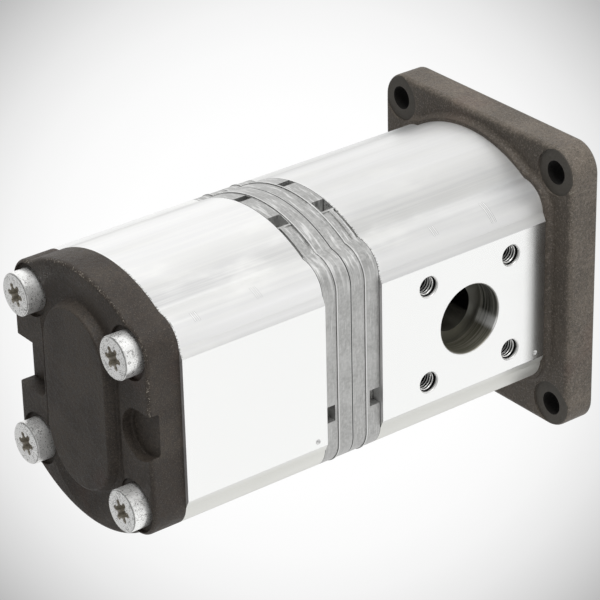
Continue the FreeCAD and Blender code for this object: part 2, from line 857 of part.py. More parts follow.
def idler_gear(body_start_x, body_end_x):
    """Idler gear and its two journals in one piece, in mesh with the drive gear."""
    nose = body_start_x - shaft_end_gap
    tail = body_end_x + shaft_end_gap
    rim = toothed_rim(body_start_x, body_end_x, idler_z, 90.0 + 180.0 / gear_teeth)
    shaft = fused([rod_x(journal_r, tail, nose, 0, idler_z), rim])
    return shaft.cut([centre_hole(tail, 1, idler_z), centre_hole(nose, -1, idler_z)])


def coupler():
    """Sleeve with crossed slots that takes both driving tongues."""
    x0 = rear_start_x + axial_play + shaft_end_gap
    x1 = front_end_x - axial_play - shaft_end_gap
    half = tongue_width / 2 + slot_gap
    front_floor = front_end_x + shaft_end_gap - tongue_length - slot_gap
    rear_floor = rear_start_x - shaft_end_gap + tongue_length + slot_gap
    body = rod_x(coupler_r, x0, x1)
    front_slot = block(front_floor, x1 + 1, -half, half, -coupler_r, coupler_r)
    rear_slot = block(x0 - 1, rear_floor, -coupler_r, coupler_r, -half, half)
    return body.cut([front_slot, rear_slot])


def casing_seals():
    """Flat seal in each groove, from the flange back."""
    d = body_seal_depth
    return {
        "front_cover_seal": body_seal(seat_x - d, seat_x, False, fit_gap),
        "front_plate_seal": body_seal(front_end_x, front_end_x + d, True, fit_gap),
        "plate_joint_seal": body_seal(plate_seam_x, plate_seam_x + d, True, fit_gap),
        "rear_plate_seal": body_seal(rear_start_x - d, rear_start_x, True, fit_gap),
        "end_cover_seal": body_seal(rear_end_x, rear_end_x + d, False, fit_gap),
    }


def bearing_sets():
    """Block, two bushes, rubber seal and backup ring for each end of each section."""
    places = {
        "front_outer": (seat_x, -1),
        "front_inner": (front_end_x, 1),
        "rear_inner": (rear_start_x, -1),
        "rear_outer": (rear_end_x, 1),
    }
    nodes = {}
    for name, (x, step) in places.items():
        nodes[name + "_block"] = bearing_block(x, step)
        nodes[name + "_drive_bush"] = bush(x, step, 0.0)
        nodes[name + "_idler_bush"] = bush(x, step, idler_z)
        nodes[name + "_block_seal"] = block_rubber(x, step)
        nodes[name + "_backup_ring"] = block_backup(x, step)
    return nodes


def build():
    nodes = {
        "front_cover": front_cover(),
        "shaft_seal": shaft_seal(),
        "seal_retaining_ring": seal_retaining_ring(),
        "front_body": front_body(),
        "front_drive_gear": front_drive_gear(),
        "front_idler_gear": idler_gear(seat_x, front_end_x),
        "front_intermediate_plate": front_intermediate_plate(),
        "rear_intermediate_plate": rear_intermediate_plate(),
        "coupler": coupler(),
        "rear_body": rear_body(),
        "rear_drive_gear": rear_drive_gear(),
        "rear_idler_gear": idler_gear(rear_start_x, rear_end_x),
        "end_cover": end_cover(),
        "clamp_screws": clamp_screws(),
        "dowel_pins": dowel_pins(),
    }
    nodes.update(bearing_sets())
    nodes.update(casing_seals())
    return nodes


os.makedirs("parts", exist_ok=True)
for node, shape in build().items():
    shape.exportStep("parts/" + node + ".step")
    print(node, len(shape.Solids), "solids", round(shape.Volume), "mm3", shape.isValid())
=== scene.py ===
import json
import math

import bpy
import numpy as np
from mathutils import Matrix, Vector


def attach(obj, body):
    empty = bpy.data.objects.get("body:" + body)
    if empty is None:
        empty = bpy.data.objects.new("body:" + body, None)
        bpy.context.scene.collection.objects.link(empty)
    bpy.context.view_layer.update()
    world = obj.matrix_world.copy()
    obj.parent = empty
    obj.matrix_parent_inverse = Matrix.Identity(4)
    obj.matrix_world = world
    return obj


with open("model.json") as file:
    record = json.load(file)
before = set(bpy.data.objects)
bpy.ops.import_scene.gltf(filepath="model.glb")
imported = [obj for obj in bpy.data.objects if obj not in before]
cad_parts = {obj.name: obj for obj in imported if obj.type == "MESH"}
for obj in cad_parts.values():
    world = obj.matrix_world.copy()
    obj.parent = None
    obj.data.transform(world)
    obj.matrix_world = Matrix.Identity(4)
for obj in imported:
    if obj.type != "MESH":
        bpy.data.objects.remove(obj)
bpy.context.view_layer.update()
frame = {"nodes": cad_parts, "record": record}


# Studio: a wide white floor under a bright white tent, as in a product photograph of a pump that
# hangs clear of the ground. The camera looks down on the suction side and the end cover.
floor_z = -0.6
floor_half = 9.0
lens_mm = 178.378
sensor_mm = 36.0

camera_data = bpy.data.cameras.new("camera")
camera_data.lens = lens_mm
camera_data.sensor_width = sensor_mm
camera_data.clip_start = 0.05
camera_data.clip_end = 50.0
camera = bpy.data.objects.new("camera", camera_data)
camera.location = (-0.67364, -0.76396, 0.49263)
camera.rotation_euler = (1.087503, 0.021163, -0.658329)
bpy.context.scene.collection.objects.link(camera)
bpy.context.scene.camera = camera
bpy.context.scene.view_settings.view_transform = "Standard"


class Tree:
    """Short ways to build one node tree. A value is a number, a tuple or another node's output."""

    place = None

    def __init__(self, tree):
        self.tree = tree

    def put(self, socket, value):
        if isinstance(value, bpy.types.NodeSocket):
            self.tree.links.new(value, socket)
        else:
            socket.default_value = value

    def add(self, kind, inputs=(), **settings):
        node = self.tree.nodes.new(kind)
        for key, value in settings.items():
            setattr(node, key, value)
        for key, value in dict(inputs).items():
            self.put(node.inputs[key], value)
        return node

    def math(self, operation, a, b=0.0, c=0.0):
        return self.add("ShaderNodeMath", {0: a, 1: b, 2: c}, operation=operation).outputs[0]

    def both(self, a, b):
        return self.math("MULTIPLY", a, b)

    def size(self, value):
        """The value without its sign."""
        return self.math("ABSOLUTE", value)

    def above(self, value, level):
        """How far the value lies above the level."""
        return self.math("SUBTRACT", value, level)

    def apart(self, a, b):
        """Distance between two values."""
        return self.size(self.above(a, b))

    def nearer(self, a, b):
        """The lesser of two distances."""
        return self.math("MINIMUM", a, b)

    def radius(self, a, b):
        """Distance from an axis, from the two coordinates across it."""
        return self.math("SQRT", self.math("MULTIPLY_ADD", a, a, self.both(b, b)))

    def split(self, vector):
        return self.add("ShaderNodeSeparateXYZ", {0: vector}).outputs

    def step(self, value, start, end, low=0.0, high=1.0):
        """Smooth step from low at start to high at end."""
        inputs = {0: value, 1: start, 2: end, 3: low, 4: high}
        return self.add("ShaderNodeMapRange", inputs, interpolation_type="SMOOTHSTEP").outputs[0]

    def ramp(self, value, stops):
        """Grey ramp through (place, level) stops."""
        node = self.add("ShaderNodeValToRGB", {"Fac": value})
        elements = node.color_ramp.elements
        elements[0].position, elements[1].position = stops[0][0], stops[-1][0]
        for place, level in stops[1:-1]:
            elements.new(place)
        for element, (place, level) in zip(elements, stops):
            element.color = rgb(level, level, level)
        return node.outputs[0]

    def mix(self, share, a, b):
        return self.add("ShaderNodeMix", {0: share, 6: a, 7: b}, data_type="RGBA").outputs[2]

    def bump(self, height, distance, strength=1.0):
        inputs = {"Height": height, "Distance": distance, "Strength": strength}
        return self.add("ShaderNodeBump", inputs).outputs[0]

    def use(self, effect, inputs):
        return self.add("ShaderNodeGroup", inputs, node_tree=effect.tree).outputs

    def noise(self, size, detail=2.0, roughness=0.5, stretch=(1, 1, 1), shift=0.0):
        """Grains about this many metres across, longer along a stretched axis."""
        fineness = tuple(1 / (size * s) for s in stretch)
        return self.use(grain, {"Place": self.place, "Fineness": fineness, "Shift": shift,
                                "Detail": detail, "Roughness": roughness})["Grain"]


class Finish(Tree):
    """Material with one Principled shader, whose patterns lie on the piece's own coordinates."""

    def __init__(self, name, inputs=()):
        self.material = bpy.data.materials.new(name)
        self.material.use_nodes = True
        super().__init__(self.material.node_tree)
        self.tree.nodes.clear()
        self.shader = self.add("ShaderNodeBsdfPrincipled", inputs)
        self.add("ShaderNodeOutputMaterial", {"Surface": self.shader.outputs[0]})
        coordinates = self.add("ShaderNodeTexCoord").outputs
        self.place, self.normal = coordinates["Object"], coordinates["Normal"]

    def give(self, **values):
        for key, value in values.items():
            self.put(self.shader.inputs[key.replace("_", " ")], value)


class Effect(Tree):
    """Node group with named inputs and outputs, built once and placed in each material that has it."""

    def __init__(self, name, inputs, outputs):
        super().__init__(bpy.data.node_groups.new(name, "ShaderNodeTree"))
        for title, kind in inputs.items():
            self.tree.interface.new_socket(title, in_out="INPUT", socket_type="NodeSocket" + kind)
        for title, kind in outputs.items():
            self.tree.interface.new_socket(title, in_out="OUTPUT", socket_type="NodeSocket" + kind)
        self.given = self.add("NodeGroupInput").outputs
        self.out = self.add("NodeGroupOutput")
        self.place = self.given["Place"]

    def give(self, **values):
        for key, value in values.items():
            self.put(self.out.inputs[key], value)


def rgb(r, g, b):
    return (r, g, b, 1.0)


# The floor shines by itself. Its glow falls off from the picture's middle to its corners, so it is
# worked out from where each floor point lies in the camera's view.
picture_corner = math.hypot(sensor_mm / 2, sensor_mm / 2) / lens_mm
glow_stops = [(0.225, 1.0), (0.30, 0.965), (0.35, 0.913), (0.40, 0.817),
              (0.45, 0.672), (0.50, 0.503), (0.60, 0.6), (0.75, 1.0)]
look = camera.rotation_euler.to_quaternion() @ Vector((0, 0, -1))
heading, level, drop = math.atan2(look.x, look.y), math.hypot(look.x, look.y), -look.z
camera_height = camera.location.z - floor_z

floor_finish = Finish("light_table", {"Base Color": rgb(0, 0, 0), "Roughness": 1.0,
                                      "Specular IOR Level": 0.0})
under_camera = (-camera.location.x, -camera.location.y, 0)
from_foot = floor_finish.add("ShaderNodeMapping", {"Vector": floor_finish.place,
                                                   "Location": under_camera})
turned = floor_finish.add("ShaderNodeMapping", {"Vector": from_foot.outputs[0],
                                                "Rotation": (0, 0, heading)})
right, along, _ = floor_finish.split(turned.outputs[0])
depth = floor_finish.math("MULTIPLY_ADD", along, level, camera_height * drop)
up = floor_finish.math("MULTIPLY_ADD", along, drop, -camera_height * level)
from_middle = floor_finish.math("DIVIDE", floor_finish.radius(right, up), depth)
glow = floor_finish.ramp(floor_finish.both(from_middle, 0.5 / picture_corner), glow_stops)
behind_camera = floor_finish.step(floor_finish.split(floor_finish.place)[0], -0.8, -0.2, 0.5, 1.0)
floor_finish.give(Emission_Color=glow, Emission_Strength=behind_camera)

corners = [(x * floor_half, y * floor_half, 0) for x, y in ((-1, -1), (1, -1), (1, 1), (-1, 1))]
floor_mesh = bpy.data.meshes.new("floor")
floor_mesh.from_pydata(corners, [], [(0, 1, 2, 3)])
floor_mesh.materials.append(floor_finish.material)
floor = bpy.data.objects.new("floor", floor_mesh)
floor.location = (0, 0, floor_z)
bpy.context.scene.collection.objects.link(floor)

# The tent is brightest on the far side of the pump and dimmer behind the camera. One soft lamp
# over the suction side picks out the top of the castings.
tent_bright_side = (0.45, 0.86, 0.24)
tent_stops = [(0.0, 0.74), (0.45, 0.75), (0.75, 0.90), (0.93, 1.03), (1.0, 1.08)]
lamp_side = 0.9
lamp_aim = Vector((-0.09, 0, 0))

world = bpy.data.worlds.new("tent")
world.use_nodes = True
tent = Tree(world.node_tree)
tent.tree.nodes.clear()
direction = tent.add("ShaderNodeTexCoord").outputs["Generated"]
towards = tent.add("ShaderNodeVectorMath", {0: direction, 1: tent_bright_side},
                   operation="DOT_PRODUCT")
white = tent.ramp(towards.outputs["Value"], tent_stops)
ahead = tent.step(tent.split(direction)[0], -0.5, 0.3, 0.45, 1.0)
sky = tent.add("ShaderNodeBackground", {"Color": white, "Strength": ahead})
tent.add("ShaderNodeOutputWorld", {"Surface": sky.outputs[0]})
bpy.context.scene.world = world

lamp_data = bpy.data.lights.new("key", "AREA")
lamp_data.shape = "RECTANGLE"
lamp_data.size = lamp_side
lamp_data.size_y = lamp_side
lamp_data.energy = 30
lamp = bpy.data.objects.new("key", lamp_data)
lamp.location = (-0.35, -0.7, 2.0)
lamp.rotation_euler = (lamp_aim - lamp.location).to_track_quat("-Z", "Y").to_euler()
bpy.context.scene.collection.objects.link(lamp)


# Mounting flange: one iron casting with a brown-grey sand-cast skin, a breath of rust, painted shade
# on the side that faces the bodies, and rims rubbed down to bare specks, which also carry a painted
# highlight. Its spot faces, its mounting face and its pilot are machined.
mounts = {mount["name"]: mount for mount in frame["record"]["mounts"]}
mid_z = mounts["suction_port"]["pos_m"][2]
flange_bolts = mounts["flange_bolts"]
flange_hole_y = flange_bolts["dims"]["spacing_x_mm"] / 2000
flange_hole_z = flange_bolts["dims"]["spacing_y_mm"] / 2000
flange_hole_r = flange_bolts["dims"]["hole_r_mm"] / 1000
flange_hole_mid = flange_bolts["pos_m"][2] - mid_z
spot_face_r = 0.009
spot_face_x = -0.0119
flange_rim_x = -0.0115
rubbed_and_highlight_from_r = 0.038

grain = Effect("grain", {"Place": "Vector", "Fineness": "Vector", "Shift": "Float",
                         "Detail": "Float", "Roughness": "Float"}, {"Grain": "Float"})
scaled = grain.add("ShaderNodeVectorMath",
                   {0: grain.place, 1: grain.given["Fineness"], 2: grain.given["Shift"]},
                   operation="MULTIPLY_ADD")
noise = grain.add("ShaderNodeTexNoise", {"Vector": scaled.outputs[0], "Scale": 1.0,
                                         "Detail": grain.given["Detail"],
                                         "Roughness": grain.given["Roughness"]})
grain.give(Grain=noise.outputs[0])


def section_frame(tree):
    """X, Y and Z of the surface point, with Z counted from the section's middle."""
    x, y, z = tree.split(tree.place)
    return x, y, tree.above(z, mid_z)


def cast_skin_effect():
    """Sand-cast iron: clouds, dark pits and light grains over two colours, and chipped specks on the
    rim where the surface turns over at Rim X, between the heights Low and High on the near side.
    The specks on the rim are partly chips and partly a painted highlight on the rounded edge."""
    skin = Effect("cast_skin", {"Place": "Vector", "Normal": "Vector", "Dark": "Color",
                                "Light": "Color", "Pits": "Float", "Rim X": "Float",
                                "Low": "Float", "High": "Float"},
                  {"Color": "Color", "Roughness": "Float", "Height": "Float"})
    given = skin.given
    x, y, z = section_frame(skin)
    cloud = skin.noise(0.02, 2, 0.5, shift=7.7)
    fine = skin.noise(0.00042, 2, 0.7)
    coarse = skin.noise(0.0016, 3, 0.6, shift=3.1)
    pits = skin.both(given["Pits"], skin.step(coarse, 0.35, 0.6, 1.0, 0.0))
    rust = skin.step(skin.noise(0.03, 2, 0.6, shift=2.2), 0.58, 0.74, 0.0, 0.08)
    color = skin.mix(skin.step(cloud, 0.35, 0.65), given["Dark"], given["Light"])
    color = skin.mix(pits, color, rgb(0.014, 0.011, 0.009))
    color = skin.mix(skin.step(fine, 0.34, 0.5, 0.5, 0.0), color, rgb(0.008, 0.006, 0.005))
    color = skin.mix(skin.step(fine, 0.56, 0.7, 0.0, 0.3), color, rgb(0.23, 0.20, 0.17))
    color = skin.mix(rust, color, rgb(0.17, 0.05, 0.035))
    steep = skin.size(skin.split(given["Normal"])[0])
    # Rim specks: chips, and partly a painted highlight where the rounded edge turns to the light.
    rim = skin.both(skin.step(steep, 0.25, 0.55), skin.step(steep, 0.98, 0.86))
    rim = skin.both(rim, skin.step(skin.apart(x, given["Rim X"]), 0.0016, 0.0009))
    rim = skin.both(rim, skin.step(skin.above(z, given["Low"]), 0.0, 0.008, 0.2, 1.0))
    rim = skin.both(rim, skin.step(skin.above(z, given["High"]), 0.0, -0.003, 0.1, 1.0))
    rim = skin.both(rim, skin.step(skin.radius(y, z), rubbed_and_highlight_from_r, rubbed_and_highlight_from_r + 0.001))
    rim = skin.both(rim, skin.step(skin.noise(0.011, 2, 0.5, shift=4.4), 0.42, 0.56, 0.15, 1.0))
    chips = skin.step(skin.noise(0.0006, 2, 0.7, shift=1.3), 0.57, 0.64, 0.0, 0.75)
    color = skin.mix(skin.both(rim, chips), color, rgb(0.42, 0.38, 0.32))
    skin.give(Color=color, Roughness=skin.step(coarse, 0.3, 0.7, 0.5, 0.68),
              Height=skin.math("MULTIPLY_ADD", fine, 0.8, skin.both(coarse, 1.6)))
    return skin


cast_skin = cast_skin_effect()
cast_relief = 0.00016


def dress(finish, *names):
    """Puts one finish on the named pieces."""
    for name in names:
        for slot in frame["nodes"][name].material_slots:
            slot.material = finish.material


flange_iron = iron = Finish("flange_iron", {"Specular IOR Level": 0.35})
cast = iron.use(cast_skin, {"Place": iron.place, "Normal": iron.normal, "Pits": 0.32,
                            "Dark": rgb(0.116, 0.098, 0.079), "Light": rgb(0.164, 0.138, 0.111),
                            "Rim X": flange_rim_x, "Low": 0.012, "High": 0.050})
x, y, z = section_frame(iron)
# Painted shade: the face turned towards the bodies is darkened where shade falls beside them.
rear_face_painted_shade = iron.step(x, flange_rim_x - 0.0003, flange_rim_x - 0.0011, 0.0, 0.48)
bare_grains = iron.step(iron.noise(0.0008, 2, 0.7, shift=4.9), 0.53, 0.66, 0.0, 0.32)
from_hole = iron.radius(iron.above(iron.size(y), flange_hole_y),
                        iron.above(iron.apart(z, flange_hole_mid), flange_hole_z))
spot = iron.both(iron.step(from_hole, spot_face_r + 0.0001, spot_face_r - 0.0002),
                 iron.step(iron.apart(x, spot_face_x), 0.0004, 0.0002))
# Painted shade: the walls of the bolt holes are made near black and fully rough.
hole_painted_shade = iron.step(from_hole, flange_hole_r + 0.00015, flange_hole_r + 0.00002)
faced = iron.step(x, -0.0003, -0.0001)
turning = iron.noise(0.0004, 3, 0.6, (1, 9, 9), 1.9)
turned_face = iron.mix(turning, rgb(0.24, 0.235, 0.225), rgb(0.36, 0.355, 0.345))
color = iron.mix(rear_face_painted_shade, cast["Color"], rgb(0.042, 0.034, 0.027))
color = iron.mix(bare_grains, color, rgb(0.30, 0.265, 0.225))
color = iron.mix(iron.both(spot, 0.85), color, rgb(0.055, 0.050, 0.042))
color = iron.mix(faced, color, turned_face)
color = iron.mix(hole_painted_shade, color, rgb(0.006, 0.005, 0.004))
rough = iron.math("MULTIPLY_ADD", faced, -0.2, cast["Roughness"])
as_cast = iron.math("MULTIPLY_ADD", iron.math("MAXIMUM", spot, faced), -0.85, 1.0)
iron.give(Base_Color=color, Roughness=iron.math("MAXIMUM", rough, hole_painted_shade),
          Metallic=iron.both(iron.above(faced, hole_painted_shade), 0.75),
          Normal=iron.bump(iron.both(cast["Height"], as_cast), cast_relief))
dress(flange_iron, "front_cover")


# Shaft seal in the flange's pilot: a moulded black lip seal, held by a blackened spring ring in a
# groove. The same rubber makes the flat seals of the seams and the block seals.
def worked_surface_effect():
    """Fine lines or grain between two colours, with soft clouds of the darker one."""
    effect = Effect("worked_surface", {"Place": "Vector", "Fineness": "Vector", "Cloud": "Vector",
                                       "Dark": "Color", "Light": "Color", "Low": "Float",
                                       "High": "Float"},
                    {"Color": "Color", "Roughness": "Float", "Lines": "Float"})
    given = effect.given
    lines = effect.use(grain, {"Place": effect.place, "Fineness": given["Fineness"],
                               "Shift": 0.0, "Detail": 3.0, "Roughness": 0.6})["Grain"]
    cloud = effect.use(grain, {"Place": effect.place, "Fineness": given["Cloud"],
                               "Shift": 6.0, "Detail": 2.0, "Roughness": 0.5})["Grain"]
    color = effect.mix(effect.step(lines, 0.3, 0.7), given["Dark"], given["Light"])
    color = effect.mix(effect.step(cloud, 0.45, 0.7, 0.0, 0.5), color, given["Dark"])
    rough = effect.step(lines, 0.25, 0.75, given["Low"], given["High"])
    effect.give(Color=color, Roughness=rough, Lines=lines)
    return effect


worked_surface = worked_surface_effect()


def plain(name, dark, light, rough, size, metallic, stretch=(1, 1, 1), height=0.00003):
    """Finish whose colour and gloss vary with fine lines or grain of this size."""
    finish = Finish(name, {"Metallic": metallic})
    fineness = tuple(1 / (size * s) for s in stretch)
    cloud_size = size * 9
    surface = finish.use(worked_surface, {
        "Place": finish.place, "Fineness": fineness, "Cloud": (1 / cloud_size,) * 3,
        "Dark": dark, "Light": light, "Low": rough - 0.06, "High": rough + 0.08})
    finish.give(Base_Color=surface["Color"], Roughness=surface["Roughness"],
                Normal=finish.bump(surface["Lines"], height, 0.6))
    return finish


seal_rubber = plain("seal_rubber", rgb(0.012, 0.012, 0.012), rgb(0.028, 0.028, 0.028),
                    rough=0.55, size=0.0006, metallic=0.0)
dark_steel = plain("dark_steel", rgb(0.03, 0.03, 0.032), rgb(0.07, 0.07, 0.072),
                   rough=0.38, size=0.0009, metallic=0.7)
dress(seal_rubber, "shaft_seal")
dress(dark_steel, "seal_retaining_ring")


# Bodies: extruded aluminium with soft lines drawn along the rounded skin and a few scratches, and
# two flat sides milled smooth. The port bores are oily and show their turning rings.
def ends(name):
    """Least and greatest X, Y and Z of a piece of the model."""
    corners = np.array(frame["nodes"][name].bound_box)
    return corners.min(axis=0).tolist(), corners.max(axis=0).tolist()


(front_body_end, _, _), (_, flat_y, _) = ends("front_body")
rear_body_end = ends("rear_body")[0][0]
arch_foot_z = 0.025
arch_height = 0.025
suction_x = mounts["suction_port"]["pos_m"][0]
rear_port_x = mounts["rear_pressure_port"]["pos_m"][0]
port_rim_r = 0.0143
port_floor_y = flat_y - 0.0116
port_screws = mounts["suction_port_screws"]["dims"]
port_screw_half = port_screws["spacing_x_mm"] / 2000
port_screw_r = port_screws["hole_r_mm"] / 1000
tapped_root_r = 0.0035

extruded_aluminium = metal = Finish("extruded_aluminium")
x, y, z = section_frame(metal)
high = metal.size(y)
flat = metal.step(high, flat_y - 0.0001, flat_y - 0.00003)
skin = metal.math("SUBTRACT", 1.0, flat)

# Drawn skin. Its grey runs in painted reflection bands round the arch, painted shade darkens the
# front body, and it is darker near the flange.
arch_reflection_stops = [(0.10, 0.76), (0.18, 0.88), (0.25, 0.80), (0.40, 1.0), (0.47, 0.88), (0.53, 0.75),
              (0.58, 0.74), (0.61, 0.87), (0.64, 0.80), (0.69, 0.60), (0.76, 0.63), (0.83, 0.72),
              (0.86, 0.80), (0.92, 0.87), (0.96, 0.87), (1.0, 0.83)]
drawn = metal.noise(0.0013, 3, 0.6, (50, 1, 1))
band = metal.noise(0.010, 2, 0.5, (16, 1, 1), 4.2)
cloud = metal.noise(0.014, 3, 0.6, (2.2, 1, 1), 9.1)
up_arch = metal.math("MULTIPLY_ADD", metal.size(z), 1 / arch_height, -arch_foot_z / arch_height)
color = metal.mix(metal.step(drawn, 0.3, 0.7, 0.0, 0.35),
                  metal.ramp(up_arch, arch_reflection_stops), rgb(0.94, 0.94, 0.915))
color = metal.mix(metal.step(band, 0.40, 0.66, 0.0, 0.30), color, rgb(0.66, 0.66, 0.63))
color = metal.mix(metal.step(cloud, 0.5, 0.7, 0.0, 0.35), color, rgb(0.96, 0.96, 0.93))
# Painted shade: the front body's skin is a little darker, as the light falls off towards it.
front_body_painted_shade = metal.step(x, front_body_end - 0.002, front_body_end + 0.002, 0.0, 0.20)
color = metal.mix(front_body_painted_shade, color, rgb(0.45, 0.45, 0.44))
by_flange = metal.both(metal.step(x, -0.046, -0.022),
                       metal.step(metal.apart(z, 0.042), 0.007, 0.001))
color = metal.mix(metal.both(by_flange, metal.step(cloud, 0.40, 0.60, 0.10, 0.50)),
                  color, rgb(0.50, 0.51, 0.52))

# Pairs of slanting scratches on the near shoulder, each given by its X, its Z and half its length.
scratches = [(-0.1425, 0.0388, 0.0015), (-0.1685, 0.0386, 0.0013),
             (-0.0390, 0.0370, 0.0034), (-0.0645, 0.0378, 0.0015)]
scratch_slant = 0.25
scratch_half_gap = 0.0008
near_side = metal.step(y, 0.0, -0.01)
for scratch_x, scratch_z, reach in scratches:
    up = metal.above(z, scratch_z)
    across = metal.math("MULTIPLY_ADD", up, scratch_slant, metal.above(x, scratch_x))
    from_line = metal.apart(metal.size(across), scratch_half_gap)
    here = metal.both(metal.step(metal.size(up), reach, reach * 0.8), near_side)
    flanks = metal.step(from_line, 0.00042, 0.00028, 0.0, 0.75)
    color = metal.mix(metal.both(here, flanks), color, rgb(0.32, 0.32, 0.31))
    color = metal.mix(metal.both(here, metal.step(from_line, 0.00022, 0.00012)),
                      color, rgb(1.0, 1.0, 1.0))

# Painted shade: the lower shoulder is darker all along.
color = metal.mix(metal.step(z, -0.0268, -0.0300, 0.0, 0.75), color, rgb(0.70, 0.70, 0.655))

# Nicks on the sawn ends, on the near shoulder.
from_end = metal.nearer(metal.apart(x, front_body_end), metal.apart(x, rear_body_end))
nicks = metal.step(metal.noise(0.0005, 2, 0.6, (3, 1, 1), 3.3), 0.50, 0.58, 0.0, 0.75)
nicks = metal.both(metal.step(from_end, 0.0007, 0.0003), nicks)
shoulder = metal.both(metal.step(z, 0.022, 0.032), metal.step(y, -0.004, -0.012))
color = metal.mix(metal.both(nicks, shoulder), color, rgb(0.16, 0.16, 0.15))

# Milled flats, bright, and grey beside the flange from a painted reflection of the flange.
by_flange = metal.step(x, -0.0262, -0.0195, 0.0, 0.66)
milled = metal.mix(by_flange, rgb(0.92, 0.925, 0.915), rgb(0.36, 0.36, 0.35))
color = metal.mix(flat, color, milled)
below_flat = metal.step(high, flat_y - 0.0001, flat_y - 0.0003)

# Port bores: rings from turning under oil, a painted glint on one side, a darker floor and a throat
# painted near black as shade, lighter low down with painted light.
from_port = metal.nearer(metal.apart(x, suction_x), metal.apart(x, rear_port_x))
bore = metal.both(metal.step(metal.radius(from_port, z), port_rim_r + 0.0001, port_rim_r - 0.0001),
                  below_flat)
rings = metal.noise(0.0005, 3, 0.6, (60, 1, 60), 2.0)
bore_rings_and_painted_glint = metal.mix(metal.step(rings, 0.38, 0.62), rgb(0.06, 0.058, 0.050), rgb(0.46, 0.455, 0.42))
bore_rings_and_painted_glint = metal.mix(metal.step(z, -0.002, -0.009, 0.0, 0.65), bore_rings_and_painted_glint, rgb(0.17, 0.16, 0.11))
# Painted highlight: a bright glint along one side of the bore wall, broken by the rings.
angle = metal.math("ARCTAN2", z, metal.above(x, suction_x))
glint = metal.both(metal.step(metal.apart(angle, -0.46), 0.26, 0.06),
                   metal.step(rings, 0.30, 0.50, 0.45, 1.0))
on_wall = metal.step(high, port_floor_y + 0.0001, port_floor_y + 0.0019)
bore_rings_and_painted_glint = metal.mix(metal.both(glint, on_wall), bore_rings_and_painted_glint, rgb(1.0, 1.0, 0.98))
on_floor = metal.step(high, port_floor_y + 0.0019, port_floor_y + 0.0011, 0.0, 0.7)
bore_rings_and_painted_glint = metal.mix(on_floor, bore_rings_and_painted_glint, rgb(0.13, 0.128, 0.11))
# Painted shade and light: the throat is near black above and lighter low down, where light is painted
# in.
throat = metal.mix(metal.step(z, -0.0035, -0.0055),
                   rgb(0.012, 0.012, 0.011), rgb(0.30, 0.29, 0.25))
in_throat = metal.step(high, port_floor_y, port_floor_y - 0.0003)
color = metal.mix(bore, color, metal.mix(in_throat, bore_rings_and_painted_glint, throat))

# Tapped holes: bright threads, with painted shade in the dark roots that deepens further down.
from_tap = metal.radius(metal.above(from_port, port_screw_half),
                        metal.above(metal.size(z), port_screw_half))
tapped = metal.both(metal.step(from_tap, port_screw_r + 0.0005, port_screw_r + 0.0004), below_flat)
root = metal.both(metal.step(from_tap, tapped_root_r, tapped_root_r + 0.0002),
                  metal.step(high, flat_y - 0.0008, flat_y - 0.0012))
thread_with_painted_shade = metal.mix(root, rgb(0.95, 0.95, 0.93), rgb(0.008, 0.008, 0.008))
thread_with_painted_shade = metal.mix(metal.step(high, flat_y - 0.004, flat_y - 0.008), thread_with_painted_shade, rgb(0.02, 0.02, 0.02))
color = metal.mix(tapped, color, thread_with_painted_shade)

rough = metal.math("ADD", metal.both(skin, metal.step(cloud, 0.3, 0.7, 0.36, 0.46)),
                   metal.both(flat, metal.step(cloud, 0.3, 0.7, 0.22, 0.26)))
ripple = metal.math("ADD", metal.both(cloud, 0.5), metal.both(drawn, 0.5))
height = metal.math("MULTIPLY_ADD", metal.both(rings, bore), 1.5, metal.both(ripple, skin))
metal.give(Base_Color=color, Metallic=metal.math("MULTIPLY_ADD", skin, -0.3, 1.0),
           Roughness=rough, Normal=metal.bump(height, 0.00003, 0.5))
dress(extruded_aluminium, "front_body", "rear_body")

# M8 threads of the screw holes round the ports. The model leaves the holes as plain bores, so the
# ridges are put in here.
thread_pitch = 0.00125
thread_core_r = 0.0033
thread_depth = 0.0138
thread_start = 0.0005
thread_seat = 0.00004
steps_per_turn = 36


